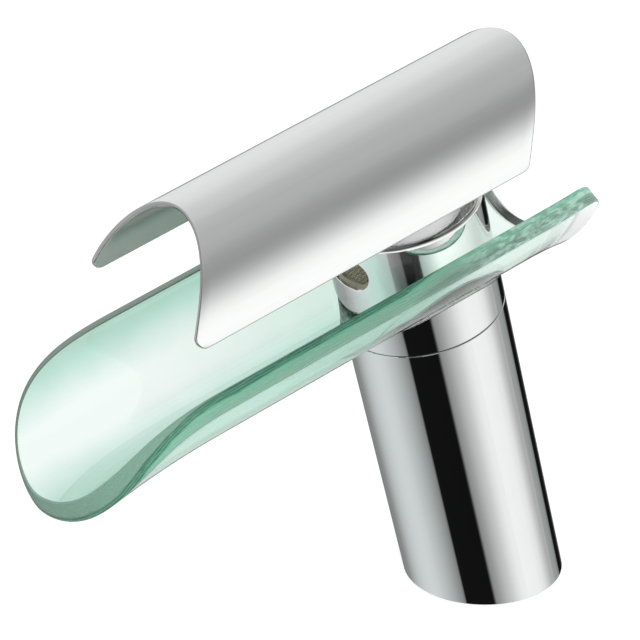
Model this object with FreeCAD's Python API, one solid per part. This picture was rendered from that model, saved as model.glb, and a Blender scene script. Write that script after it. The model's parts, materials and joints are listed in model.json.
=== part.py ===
import FreeCAD, Part
import math
import os

# Waterfall basin mixer. Millimetres, +Z up, the origin on the basin deck in the middle of the base.
# The tap leans forward (towards -Y) by body_tilt. Every piece is drawn in the upright frame of the
# tap: x across, y to the back, z up the body's own axis from the deck, and is leant over last.

V = FreeCAD.Vector
UP = V(0, 0, 1)
BACK = V(0, 1, 0)
ACROSS = V(1, 0, 0)
ORIGIN = V(0, 0, 0)

# ---- Driving dimensions -------------------------------------------------------------------------

# Body and its joints along the axis
body_tilt = 14.75
body_radius = 22.5
seam_height = 93.0
seam_chamfer = 0.3
foot_chamfer = 0.4
rim_stand = 3.7
rim_fillet = 1.0

# Base, with the hose recess and the three threaded holes, drilled plumb
foot_wall = 5.0
recess_depth = 10.0
stud_core_radius = 3.4
stud_depth = 18.0
stud_back = 9.5
inlet_core_radius = 4.5
inlet_depth = 14.0
inlet_spread = 7.0
base_seal_margin = 1.1
base_seal_width = 2.0
base_seal_height = 1.5

# Glass trough: a blank with a rounded nose, bent round a level axis across the top of the body
trough_axis_rise = 39.4
trough_radius = 27.8
glass_thickness = 6.0
trough_half_width = 36.4
trough_reach = 122.4
trough_tail = 35.6
tail_slant = 20.0
nose_length = 48.6
nose_side_power = 1.64
nose_tip_power = 3.9
tail_corner = 1.5
saddle_width = 5.0

# The bend opens out and drops a little towards the nose, and swells and widens behind the body
front_flare_length = 45.7
front_flare = 0.35
front_droop = 1.85
tail_margin = 1.5
tail_flare_length = 14.0
tail_swell = 1.0
tail_spread = 3.5

gasket_thickness = 0.8
gasket_setback = 0.3

# Spout housing, above the glass
housing_wall = 2.5
rim_wall = 1.4
recess_floor_drop = 8.1
trench_depth = 5.6
trench_side_gap = 3.0
web_thickness = 1.5
front_block_angle = 42.0
chamber_gap = 2.4
boss_wall = 2.6
boss_length = 9.0
slot_half_width = 10.3
slot_radius = 5.0
slot_drop = 5.5
slot_fillet = 0.4
slot_inner_gap = 0.5

# Wire screen in the slot
screen_thickness = 0.6
screen_frame_width = 0.9
screen_frame_depth = 0.9
screen_pitch = 1.5
screen_opening = 1.0

# Neck that carries the cartridge
neck_engagement = 21.0
neck_wall = 2.4
water_window_width = 12.0
water_window_height = 3.0
window_lift = 1.0
o_ring_section = 0.9
o_ring_depth = 1.8
o_ring_side_gap = 0.2
lower_o_ring_rise = 6.0
upper_o_ring_rise = 14.0
boss_o_ring_section = 0.7

# Ceramic cartridge
cartridge_length = 24.8
cartridge_clearance = 0.1
cartridge_wall = 1.3
cartridge_base_thickness = 4.0
port_spread = 5.0
port_back = 3.0
port_radius = 2.0
mixed_port_front = 5.0
mixed_port_radius = 2.4
port_seal_width = 1.0
port_seal_thickness = 1.0
fixed_disc_thickness = 2.45
disc_travel_room = 3.7
moving_disc_thickness = 2.5
hollow_margin = 1.0
coupler_thickness = 3.3
pocket_floor = 0.1
disc_gap = 0.05
carrier_gap = 0.2
carrier_side_gap = 1.4
carrier_shoulder = 1.4
carrier_end_gap = 0.1
carrier_setback = 0.5
running_clearance = 0.05
lip_thickness = 0.9
nut_height = 2.9
nut_thread_depth = 0.9
nut_clearance = 0.6
spanner_slot_depth = 1.2
spanner_slot_length = 1.8

# Lever and its pivot
pivot_rise = 19.0
pin_radius = 1.25
pin_end_gap = 0.4
lift_angle = 18.0
stem_width = 6.0
stem_rise = 23.5
shank_drop = 3.5
shank_thickness = 2.0
shank_width = 4.8
finger_radius = 1.6
finger_arm = 8.3
finger_clearance = 0.15
slot_clearance = 0.3

# Hub under the handle
hub_setback = 6.0
hub_gap = 0.5
hub_wall = 1.2
skirt_depth = 5.7
hub_edge_fillet = 0.5
set_screw_rise = 5.5
set_screw_radius = 2.0
set_screw_length = 8.0
socket_radius_share = 0.58
socket_depth_share = 1.2
plug_radius = 3.0
plug_stand_out = 0.3

# Handle: bent sheet, trimmed at both ends by the same upright cylinder
handle_axis_rise = 6.8
handle_radius = 28.3
handle_sheet = 1.4
handle_half_angle = 79.2
handle_front = 62.2
handle_length = 105.7
handle_end_overhang = 1.9
handle_corner = 2.7

# How far a cutter runs past the face it opens
past = 1.0

# ---- Derived places -----------------------------------------------------------------------------

tilt_sin = math.sin(math.radians(body_tilt))
tilt_cos = math.cos(math.radians(body_tilt))
far = 4 * trough_reach

trough_axis_height = seam_height + trough_axis_rise
recess_floor_height = trough_axis_height - recess_floor_drop
rim_height = recess_floor_height + rim_stand
trench_floor_height = recess_floor_height - trench_depth
slot_height = recess_floor_height - slot_drop

recess_radius = body_radius - foot_wall
base_seal_inner = recess_radius + base_seal_margin
base_seal_outer = base_seal_inner + base_seal_width
glass_hole_radius = body_radius - saddle_width

glass_outer_radius = trough_radius + glass_thickness
glass_middle_radius = trough_radius + glass_thickness / 2
lower_saddle_radius = glass_outer_radius + gasket_thickness
upper_saddle_radius = trough_radius - gasket_thickness
saddle_edge_height = trough_axis_height - math.sqrt(upper_saddle_radius ** 2 - body_radius ** 2)
nose_start = trough_reach - nose_length
front_flare_start = trough_reach - front_flare_length
tail_flare_start = body_radius + tail_margin
tail_reach = trough_tail + 2 * glass_thickness

chamber_radius = body_radius - housing_wall
rim_inner_radius = body_radius - rim_wall
boss_radius = chamber_radius - chamber_gap
ceiling_height = recess_floor_height - web_thickness
boss_bottom_height = trench_floor_height - boss_length
slot_back = boss_radius + slot_inner_gap

neck_radius = boss_radius - boss_wall
neck_bottom_height = seam_height - neck_engagement
neck_o_ring_heights = (neck_bottom_height + lower_o_ring_rise, neck_bottom_height + upper_o_ring_rise)
window_bottom_height = seam_height + window_lift
bore_radius = neck_radius - neck_wall
nut_top_height = recess_floor_height
nut_bottom_height = nut_top_height - nut_height
nut_radius = bore_radius + nut_thread_depth

cartridge_radius = bore_radius - cartridge_clearance
cup_radius = cartridge_radius - cartridge_wall
seat_height = nut_top_height - cartridge_length
base_disc_height = seat_height + cartridge_base_thickness
moving_disc_radius = cup_radius - disc_travel_room
moving_disc_height = base_disc_height + fixed_disc_thickness + disc_gap
coupler_height = moving_disc_height + moving_disc_thickness
coupler_top_height = coupler_height + coupler_thickness
carrier_radius = cup_radius - carrier_side_gap
carrier_neck_radius = carrier_radius - carrier_shoulder
carrier_bottom_height = coupler_top_height + carrier_gap
lip_height = nut_bottom_height - lip_thickness
carrier_shoulder_height = lip_height - carrier_end_gap
carrier_top_height = nut_top_height - carrier_setback

pivot_height = seat_height + pivot_rise
finger_height = pivot_height - finger_arm
shank_top_height = pivot_height - shank_drop
stem_top_height = pivot_height + stem_rise
lift_slope = math.tan(math.radians(lift_angle))
stem_half = stem_width / 2

hub_radius = body_radius - hub_setback
hub_bore_radius = hub_radius - hub_wall
hub_bottom_height = recess_floor_height + hub_gap
hub_roof_height = hub_bottom_height + skirt_depth
set_screw_height = hub_roof_height + set_screw_rise
set_screw_end = stem_half + set_screw_length

handle_axis_height = hub_bottom_height + handle_axis_rise
shell_inner_radius = handle_radius - handle_sheet
handle_end_radius = handle_radius + handle_end_overhang


# ---- Helpers ------------------------------------------------------------------------------------

def rod(radius, low, high):
    """A solid cylinder on the body's axis between two heights."""
    return Part.makeCylinder(radius, high - low, V(0, 0, low))


def tube(outer, inner, low, high):
    """A ring on the body's axis between two heights."""
    return rod(outer, low, high).cut(rod(inner, low - past, high + past))


def level_rod(radius, height, y_low=-far, y_high=far):
    """A cylinder that lies from front to back over the body's axis."""
    return Part.makeCylinder(radius, y_high - y_low, V(0, y_low, height), BACK)


def slab(width_x, width_y, low, high, x=0.0, y=0.0):
    """A box between two heights, centred on x and y."""
    return Part.makeBox(width_x, width_y, high - low, V(x - width_x / 2, y - width_y / 2, low))


def plumb_rod(radius, x, y, low, high):
    """A cylinder that stands plumb on the deck, in the deck's own frame."""
    return Part.makeCylinder(radius, high - low, V(x, y, low))


def lean(shape):
    """Turns a shape from the upright frame of the tap into the deck's frame."""
    leant = shape.copy()
    leant.rotate(ORIGIN, ACROSS, body_tilt)
    return leant


def edges_where(shape, test):
    """The edges of a shape whose middle point passes a test."""
    chosen = []
    for edge in shape.Edges:
        middle = edge.valueAt((edge.FirstParameter + edge.LastParameter) / 2)
        if test(edge, middle):
            chosen.append(edge)
    return chosen


def ring_edges(shape, radius, height):
    """The round edges of one radius at one height on the body's axis."""
    def on_ring(edge, middle):
        near = abs(math.hypot(middle.x, middle.y) - radius) < 0.02
        return near and abs(middle.z - height) < 0.02
    return edges_where(shape, on_ring)


# ---- Base and body ------------------------------------------------------------------------------

def make_main_body():
    """Chrome-plated casting: base cut level with the deck, waterways, and the bore for the neck."""
    body = rod(body_radius, -body_radius, seam_height)
    body = body.makeChamfer(seam_chamfer, ring_edges(body, body_radius, seam_height))
    body = body.cut(rod(neck_radius, neck_bottom_height, seam_height + past))
    body = lean(body).cut(Part.makeBox(far, far, far, V(-far / 2, -far / 2, -far)))

    def on_foot(edge, middle):
        return abs(middle.z) < 0.001

    body = body.makeChamfer(foot_chamfer, edges_where(body, on_foot))
    body = body.cut(plumb_rod(recess_radius, 0, 0, -past, recess_depth))
    body = body.cut(plumb_ring(base_seal_outer, base_seal_inner, -past, base_seal_height))
    body = body.cut(plumb_rod(stud_core_radius, 0, stud_back, 0, recess_depth + stud_depth))
    inlet_top = recess_depth + inlet_depth
    inlet_y = (port_back - inlet_top * tilt_sin) / tilt_cos
    channel_low = inlet_top * tilt_cos - inlet_y * tilt_sin - inlet_core_radius
    for side in (-1, 1):
        body = body.cut(plumb_rod(inlet_core_radius, side * inlet_spread, inlet_y, 0, inlet_top))
        channel = Part.makeCylinder(port_radius, neck_bottom_height + past - channel_low,
                                    V(side * port_spread, port_back, channel_low))
        body = body.cut(lean(channel))
    return body


def plumb_ring(outer, inner, low, high):
    """A ring that stands plumb on the deck."""
    return plumb_rod(outer, 0, 0, low, high).cut(plumb_rod(inner, 0, 0, low - past, high + past))


def make_base_seal():
    """Rubber ring that lies in the groove of the base, level with the deck."""
    return plumb_ring(base_seal_outer, base_seal_inner, 0, base_seal_height)


def make_neck():
    """Brass neck through the glass: cartridge bore, waterways, mixed-water window, O-ring grooves."""
    neck = rod(neck_radius, neck_bottom_height, nut_top_height)
    neck = neck.cut(rod(bore_radius, seat_height, nut_top_height + past))
    neck = neck.cut(rod(nut_radius, nut_bottom_height, nut_top_height + past))
    for side in (-1, 1):
        channel = Part.makeCylinder(port_radius, seat_height - neck_bottom_height + 2 * past,
                                    V(side * port_spread, port_back, neck_bottom_height - past))
        neck = neck.cut(channel)
    mixed = Part.makeCylinder(mixed_port_radius, seat_height + past - window_bottom_height,
                              V(0, -mixed_port_front, window_bottom_height))
    neck = neck.cut(mixed)
    window = slab(water_window_width, neck_radius, window_bottom_height,
                  window_bottom_height + water_window_height,
                  y=-mixed_port_front - neck_radius / 2)
    neck = neck.cut(window)
    for height in neck_o_ring_heights:
        neck = neck.cut(o_ring_groove(height))
    return neck


def o_ring_groove(height):
    """The square groove round the neck for one O-ring."""
    half = o_ring_section + o_ring_side_gap
    return tube(neck_radius + past, neck_radius - o_ring_depth, height - half, height + half)


def make_neck_o_rings():
    """Two rubber rings that seal the neck in the body's bore."""
    rings = []
    for height in neck_o_ring_heights:
        rings.append(Part.makeTorus(neck_radius - o_ring_section, o_ring_section, V(0, 0, height)))
    return Part.makeCompound(rings)


def make_collar():
    """Saddle collar between the body and the underside of the glass."""
    collar = tube(body_radius, glass_hole_radius, seam_height, trough_axis_height)
    collar = collar.cut(level_rod(lower_saddle_radius, trough_axis_height))
    return collar.makeChamfer(seam_chamfer, ring_edges(collar, body_radius, seam_height))


def make_gasket(outer_saddle):
    """A thin seal between two saddles, one gasket_thickness apart."""
    ring = tube(body_radius - gasket_setback, glass_hole_radius, seam_height, trough_axis_height)
    ring = ring.common(level_rod(outer_saddle, trough_axis_height))
    return ring.cut(level_rod(outer_saddle - gasket_thickness, trough_axis_height))


# ---- Glass trough -------------------------------------------------------------------------------

def glass_section(forward, half_width):
    """The bent glass cut square across, at a distance forward of the body's axis."""
    to_front = max(0.0, forward - front_flare_start) / front_flare_length
    to_tail = max(0.0, -forward - tail_flare_start) / tail_flare_length
    swell = tail_swell * to_tail ** 2
    drop = front_droop * to_front ** 2 + swell
    middle = glass_middle_radius * (1 + front_flare * to_front ** 2) + swell
    centre = trough_axis_height - glass_middle_radius + middle - drop
    half_angle = (half_width + tail_spread * to_tail ** 2) / middle

    def point(radius, angle):
        return V(radius * math.sin(angle), -forward, centre - radius * math.cos(angle))

    inner = middle - glass_thickness / 2
    outer = middle + glass_thickness / 2
    under = Part.Arc(point(outer, -half_angle), point(outer, 0), point(outer, half_angle))
    over = Part.Arc(point(inner, half_angle), point(inner, 0), point(inner, -half_angle))
    edges = [under.toShape(),
             Part.makeLine(point(outer, half_angle), point(inner, half_angle)),
             over.toShape(),
             Part.makeLine(point(inner, -half_angle), point(outer, -half_angle))]
    return Part.Wire(edges)


def tail_cutter():
    """All that lies behind the slanting back edge of the trough."""
    foot = V(0, trough_tail, trough_axis_height - trough_radius)
    cutter = Part.makeBox(far, far, far, V(-far / 2, trough_tail, foot.z - far / 2))
    cutter.rotate(foot, V(1, 0, 0), -tail_slant)
    return cutter


def make_glass():
    """The trough in three lofts: the straight middle, the nose and the tail, with the neck's hole."""
    straight = [glass_section(-tail_flare_start, trough_half_width),
                glass_section(nose_start, trough_half_width)]
    glass = Part.makeLoft(straight, True, True)

    nose = []
    steps = 14
    for step in range(steps + 1):
        turn = math.radians(87.0) * step / steps
        forward = nose_start + nose_length * math.sin(turn) ** (2 / nose_tip_power)
        half_width = trough_half_width * math.cos(turn) ** (2 / nose_side_power)
        nose.append(glass_section(forward, half_width))
    glass = glass.fuse(Part.makeLoft(nose, True, False))

    tail = []
    for step in range(7):
        forward = -tail_flare_start - (tail_reach - tail_flare_start) * step / 6
        tail.append(glass_section(forward, trough_half_width))
    glass = glass.fuse(Part.makeLoft(tail, True, False))
    glass = glass.cut(rod(glass_hole_radius, 0, trough_axis_height)).cut(tail_cutter())
    glass = glass.removeSplitter()

    def on_tail_corner(edge, middle):
        return edge.Length < 2 * glass_thickness and middle.y > tail_flare_start

    return glass.makeFillet(tail_corner, edges_where(glass, on_tail_corner))


# ---- Spout housing ------------------------------------------------------------------------------

def front_sector(radius, low, high):
    """The part of a cylinder that lies within front_block_angle of the front."""
    block = Part.makeCylinder(radius, high - low, V(0, 0, low), UP, 2 * front_block_angle)
    block.rotate(ORIGIN, UP, -90 - front_block_angle)
    return block


def slot_prism(half_width, radius, low_y, high_y):
    """A rounded slot on the front of the housing, as a solid between two distances forward."""
    depth = high_y - low_y
    prism = Part.makeBox(2 * (half_width - radius), depth, 2 * radius,
                         V(radius - half_width, -high_y, slot_height - radius))
    for side in (-1, 1):
        end = Part.makeCylinder(radius, depth, V(side * (half_width - radius), -high_y, slot_height), BACK)
        prism = prism.fuse(end)
    return prism.removeSplitter()


def make_housing():
    """Chrome spout housing: water chamber, outlet slot, and the well that the hub moves in."""
    housing = rod(body_radius, seam_height, rim_height)
    housing = housing.makeFillet(rim_fillet, ring_edges(housing, body_radius, rim_height))
    housing = housing.common(level_rod(upper_saddle_radius, trough_axis_height)
                             .fuse(rod(body_radius + past, saddle_edge_height, rim_height)))
    housing = housing.cut(rod(rim_inner_radius, recess_floor_height, rim_height + past))
    trench = rod(hub_radius + trench_side_gap, trench_floor_height, recess_floor_height + past)
    trench = trench.cut(front_sector(body_radius, trench_floor_height - past,
                                     recess_floor_height + 2 * past))
    housing = housing.cut(trench)
    chamber = rod(chamber_radius, seam_height, trench_floor_height - web_thickness)
    chamber = chamber.fuse(front_sector(chamber_radius, seam_height, ceiling_height))
    boss = tube(boss_radius, neck_radius, boss_bottom_height, ceiling_height)
    housing = housing.cut(chamber.cut(boss))
    housing = housing.cut(rod(neck_radius, seam_height, rim_height))
    groove_height = boss_bottom_height + boss_length / 2
    half = boss_o_ring_section + o_ring_side_gap
    housing = housing.cut(tube(neck_radius + 2 * boss_o_ring_section, neck_radius - past,
                               groove_height - half, groove_height + half))
    housing = housing.cut(slot_prism(slot_half_width, slot_radius, slot_back, body_radius + past))

    def on_slot_mouth(edge, middle):
        in_slot = abs(middle.x) < slot_half_width + slot_fillet and abs(middle.z - slot_height) < (
            slot_radius + slot_fillet)
        return in_slot and abs(math.hypot(middle.x, middle.y) - body_radius) < 0.02 and middle.y < 0

    return housing.makeFillet(slot_fillet, edges_where(housing, on_slot_mouth))


def make_boss_o_ring():
    """Rubber ring between the housing's boss and the neck."""
    height = boss_bottom_height + boss_length / 2
    return Part.makeTorus(neck_radius + boss_o_ring_section, boss_o_ring_section, V(0, 0, height))


def make_screen():
    """Curved wire screen across the slot, one holed skin."""
    outer = chamber_radius + screen_frame_depth + screen_thickness
    skin = tube(outer, outer - screen_thickness, slot_height - slot_radius, slot_height + slot_radius)
    skin = skin.common(slot_prism(slot_half_width, slot_radius, slot_back, body_radius + past))
    holes = []
    rows = int(slot_radius / screen_pitch)
    columns = int(slot_half_width / screen_pitch)
    open_half_width = slot_half_width - screen_frame_width
    open_radius = slot_radius - screen_frame_width
    for row in range(-rows, rows + 1):
        for column in range(-columns, columns + 1):
            x = column * screen_pitch
            z = row * screen_pitch
            past_end = max(0.0, abs(x) + screen_opening / 2 - (open_half_width - open_radius))
            if math.hypot(past_end, abs(z) + screen_opening / 2) < open_radius:
                holes.append(Part.makeBox(screen_opening, body_radius, screen_opening,
                                          V(x - screen_opening / 2, -body_radius,
                                            slot_height + z - screen_opening / 2)))
    return skin.cut(Part.makeCompound(holes))


def make_screen_frame():
    """Snap frame behind the screen."""
    outer = chamber_radius + screen_frame_depth
    frame = tube(outer, chamber_radius, slot_height - slot_radius, slot_height + slot_radius)
    frame = frame.common(slot_prism(slot_half_width, slot_radius, slot_back, body_radius + past))
    return frame.cut(slot_prism(slot_half_width - screen_frame_width, slot_radius - screen_frame_width,
                                0, body_radius + past))


# ---- Cartridge ----------------------------------------------------------------------------------

def port_holes(extra, low, high):
    """The hot, cold and mixed ports as cutters, each wider than its bore by extra."""
    holes = []
    for side in (-1, 1):
        holes.append(Part.makeCylinder(port_radius + extra, high - low,
                                       V(side * port_spread, port_back, low)))
    holes.append(Part.makeCylinder(mixed_port_radius + extra, high - low,
                                   V(0, -mixed_port_front, low)))
    return Part.makeCompound(holes)


def make_cartridge_base():
    """Plastic foot of the cartridge, with pockets for the port seals underneath."""
    base = rod(cartridge_radius, seat_height, base_disc_height)
    base = base.cut(port_holes(0, seat_height - past, base_disc_height + past))
    return base.cut(port_holes(port_seal_width, seat_height - past,
                               seat_height + port_seal_thickness))


def make_port_seals():
    """Three rubber rings in the foot's pockets."""
    top = seat_height + port_seal_thickness
    rings = []
    for solid in port_holes(port_seal_width, seat_height, top).Solids:
        rings.append(solid.cut(port_holes(0, seat_height - past, top + past)))
    return Part.makeCompound(rings)


def make_fixed_disc():
    """Ceramic disc that stays still over the ports."""
    top = base_disc_height + fixed_disc_thickness
    disc = rod(cup_radius, base_disc_height, top)
    return disc.cut(port_holes(0, base_disc_height - past, top + past))


def make_cartridge_housing():
    """Plastic cup that holds the discs and the carrier, pressed down by the nut."""
    cup = rod(cartridge_radius, base_disc_height, nut_bottom_height)
    cup = cup.cut(rod(cup_radius, base_disc_height - past, carrier_bottom_height))
    cup = cup.cut(rod(carrier_radius + running_clearance, carrier_bottom_height - past, lip_height))
    return cup.cut(rod(carrier_neck_radius + running_clearance, lip_height - past,
                       nut_bottom_height + past))


def make_nut():
    """Brass ring nut that holds the cartridge down in the neck."""
    nut = tube(nut_radius, carrier_neck_radius + nut_clearance, nut_bottom_height, nut_top_height)
    spanner_slots = slab(2 * nut_radius, nut_height, nut_top_height - spanner_slot_depth,
                         nut_top_height + past)
    spanner_slots = spanner_slots.cut(rod(nut_radius - spanner_slot_length, nut_bottom_height,
                                          nut_top_height + 2 * past))
    return nut.cut(spanner_slots)


def make_moving_disc():
    """Ceramic disc that slides and turns on the fixed one; its hollow joins the ports."""
    top = moving_disc_height + moving_disc_thickness
    disc = rod(moving_disc_radius, moving_disc_height, top)
    hollow = Part.makeCylinder(port_radius + hollow_margin, moving_disc_thickness / 2 + past,
                               V(0, -port_back, moving_disc_height - past))
    return disc.cut(hollow)


def make_coupler():
    """Plastic rider on the moving disc, with the pocket that the lever's finger works in."""
    coupler = rod(moving_disc_radius, coupler_height, coupler_top_height)
    pocket = slab(shank_width + 2 * finger_clearance, 2 * (finger_radius + finger_clearance),
                  coupler_height + pocket_floor, coupler_top_height + past)
    return coupler.cut(pocket)


def make_carrier():
    """Plastic carrier that swivels with the handle and holds the pivot pin."""
    carrier = rod(carrier_radius, carrier_bottom_height, carrier_shoulder_height)
    carrier = carrier.fuse(rod(carrier_neck_radius, carrier_bottom_height, carrier_top_height))
    swing_up = (carrier_top_height - pivot_height) * lift_slope
    swing_down = (pivot_height - carrier_bottom_height) * lift_slope
    rear = stem_half + swing_up + slot_clearance
    front = stem_half + swing_down + slot_clearance
    mouth = slab(stem_width + 2 * slot_clearance, front + rear, carrier_bottom_height - past,
                 carrier_top_height + past, y=(rear - front) / 2)
    carrier = carrier.cut(mouth)
    pin_hole = Part.makeCylinder(pin_radius, 2 * (carrier_radius + past),
                                 V(-carrier_radius - past, 0, pivot_height), ACROSS)
    return carrier.cut(pin_hole)


def make_pivot_pin():
    """Steel pin across the carrier."""
    half = carrier_radius - pin_end_gap
    return Part.makeCylinder(pin_radius, 2 * half, V(-half, 0, pivot_height), ACROSS)


# ---- Lever and handle ---------------------------------------------------------------------------

def make_stem():
    """Steel spindle: square head for the hub, eye on the pin, and a finger in the coupler."""
    stem = slab(stem_width, stem_width, shank_top_height, stem_top_height)
    stem = stem.fuse(slab(shank_width, shank_thickness, finger_height, shank_top_height))
    finger = Part.makeCylinder(finger_radius, shank_width,
                               V(-shank_width / 2, 0, finger_height), ACROSS)
    stem = stem.fuse(finger)
    eye = Part.makeCylinder(pin_radius + running_clearance, stem_width + 2 * past,
                            V(-stem_half - past, 0, pivot_height), ACROSS)
    return stem.cut(eye).removeSplitter()


def make_hub():
    """Chrome hub: skirt over the cartridge, square socket for the stem, saddle under the handle."""
    hub = rod(hub_radius, hub_bottom_height, handle_axis_height + handle_radius)
    hub = hub.common(level_rod(shell_inner_radius, handle_axis_height)
                     .fuse(rod(hub_radius + past, hub_bottom_height - past, handle_axis_height)))
    hub = hub.makeFillet(hub_edge_fillet, ring_edges(hub, hub_radius, hub_bottom_height))
    hub = hub.cut(rod(hub_bore_radius, hub_bottom_height - past, hub_roof_height))
    hub = hub.cut(slab(stem_width, stem_width, hub_roof_height - past, stem_top_height))
    hub = hub.cut(rear_hole(set_screw_radius, stem_half, hub_radius + past))
    return hub.cut(rear_hole(plug_radius, set_screw_end, hub_radius + past))


def rear_hole(radius, y_low, y_high):
    """A cylinder from front to back at the set screw's height."""
    return Part.makeCylinder(radius, y_high - y_low, V(0, y_low, set_screw_height), BACK)


def make_set_screw():
    """Headless screw that clamps the hub on the stem, with its hexagon socket."""
    screw = rear_hole(set_screw_radius, stem_half, set_screw_end)
    corner_radius = set_screw_radius * socket_radius_share
    depth = set_screw_radius * socket_depth_share
    corners = []
    for corner in range(7):
        angle = math.radians(60 * corner)
        corners.append(V(corner_radius * math.cos(angle), set_screw_end,
                         set_screw_height + corner_radius * math.sin(angle)))
    socket = Part.Face(Part.makePolygon(corners)).extrude(V(0, -depth, 0))
    return screw.cut(socket)


def make_plug():
    """Plug that covers the set screw at the back of the hub."""
    return rear_hole(plug_radius, set_screw_end, hub_radius + plug_stand_out)


def handle_blank():
    """The solid that trims the bent sheet: its two ends upright cylinders, their low edges rounded."""
    lowest = handle_axis_height + handle_radius * math.cos(math.radians(handle_half_angle))
    front_centre = -handle_front - handle_end_radius
    rear_centre = front_centre + handle_length
    trim_height = 2 * handle_radius
    blank = Part.makeBox(2 * handle_radius, handle_length, trim_height,
                         V(-handle_radius, front_centre, lowest))
    rear_end = Part.makeCylinder(handle_end_radius, trim_height, V(0, rear_centre, lowest))
    blank = blank.fuse(rear_end.common(slab(2 * handle_radius, 3 * handle_length, 0, far)))
    blank = blank.cut(Part.makeCylinder(handle_end_radius, far, V(0, front_centre, 0))).removeSplitter()

    def on_low_end(edge, middle):
        return isinstance(edge.Curve, Part.Circle) and abs(middle.z - lowest) < 0.01

    return blank.makeFillet(handle_corner, edges_where(blank, on_low_end))


def make_handle():
    """Bent sheet over the hub, hollow-ended in front and round-ended behind."""
    sheet = level_rod(handle_radius, handle_axis_height, -2 * handle_length, 2 * handle_length)
    sheet = sheet.cut(level_rod(shell_inner_radius, handle_axis_height))
    return sheet.common(handle_blank())


# ---- Write the pieces ---------------------------------------------------------------------------

os.makedirs("parts", exist_ok=True)

deck_pieces = {
    "main_body": make_main_body(),
    "base_seal_ring": make_base_seal(),
}
leaning_pieces = {
    "valve_neck": make_neck(),
    "neck_o_rings": make_neck_o_rings(),
    "saddle_collar": make_collar(),
    "lower_glass_gasket": make_gasket(lower_saddle_radius),
    "glass_trough": make_glass(),
    "upper_glass_gasket": make_gasket(trough_radius),
    "spout_housing": make_housing(),
    "boss_o_ring": make_boss_o_ring(),
    "outlet_screen": make_screen(),
    "screen_frame": make_screen_frame(),
    "cartridge_base": make_cartridge_base(),
    "port_seals": make_port_seals(),
    "fixed_ceramic_disc": make_fixed_disc(),
    "cartridge_housing": make_cartridge_housing(),
    "cartridge_nut": make_nut(),
    "moving_ceramic_disc": make_moving_disc(),
    "disc_coupler": make_coupler(),
    "lever_carrier": make_carrier(),
    "pivot_pin": make_pivot_pin(),
    "lever_stem": make_stem(),
    "lever_hub": make_hub(),
    "hub_set_screw": make_set_screw(),
    "screw_plug": make_plug(),
    "handle_shell": make_handle(),
}
for name, shape in leaning_pieces.items():
    deck_pieces[name] = lean(shape)
for name, shape in deck_pieces.items():
    shape.exportStep("parts/" + name + ".step")
    print(name, len(shape.Solids), round(shape.Volume, 1), shape.isValid())
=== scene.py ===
import json
import math

import bmesh
import bpy
from bpy.props import FloatProperty, FloatVectorProperty, PointerProperty
from mathutils import Matrix, Vector


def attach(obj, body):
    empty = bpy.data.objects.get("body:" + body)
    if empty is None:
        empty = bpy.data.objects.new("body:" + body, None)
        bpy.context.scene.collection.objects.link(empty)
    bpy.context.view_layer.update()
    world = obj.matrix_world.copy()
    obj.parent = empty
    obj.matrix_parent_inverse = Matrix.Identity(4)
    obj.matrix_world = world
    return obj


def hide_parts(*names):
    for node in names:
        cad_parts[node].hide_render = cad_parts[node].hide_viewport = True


bl_info = {
    "name": "Waterfall basin tap",
    "version": (1, 0, 0),
    "blender": (4, 5, 0),
    "location": "View3D > Sidebar > Tap",
    "description": "Dresses the packed model of a leaning basin tap with a bent glass trough",
    "category": "Object",
}

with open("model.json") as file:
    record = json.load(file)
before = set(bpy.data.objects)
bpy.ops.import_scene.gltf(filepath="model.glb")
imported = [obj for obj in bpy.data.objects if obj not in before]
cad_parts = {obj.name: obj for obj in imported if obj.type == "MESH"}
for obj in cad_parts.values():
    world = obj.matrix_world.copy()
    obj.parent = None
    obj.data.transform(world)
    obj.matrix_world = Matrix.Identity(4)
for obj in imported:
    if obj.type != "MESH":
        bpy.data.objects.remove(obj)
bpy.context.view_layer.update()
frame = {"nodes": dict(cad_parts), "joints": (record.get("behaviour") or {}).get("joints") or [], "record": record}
swivel_axis = Vector(frame["joints"][0]["axis"])
slots = {entry["slot"]: entry for entry in frame["record"]["materials"]}
MM = 0.001


# ---- Settings ----

def length(name, description, millimetres):
    """A length property, in metres, from its default in millimetres."""
    return FloatProperty(name=name, description=description, default=millimetres * MM,
                         unit='LENGTH', precision=5)


def angle(name, description, degrees):
    """An angle property, in radians, from its default in degrees."""
    return FloatProperty(name=name, description=description, default=math.radians(degrees),
                         subtype='ANGLE')


def number(name, description, default, **limits):
    """A plain number property."""
    return FloatProperty(name=name, description=description, default=default, **limits)


def tone(name, description, default):
    """A colour property."""
    return FloatVectorProperty(name=name, description=description, default=default, size=3,
                               subtype='COLOR', min=0.0, max=1.0)


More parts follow.
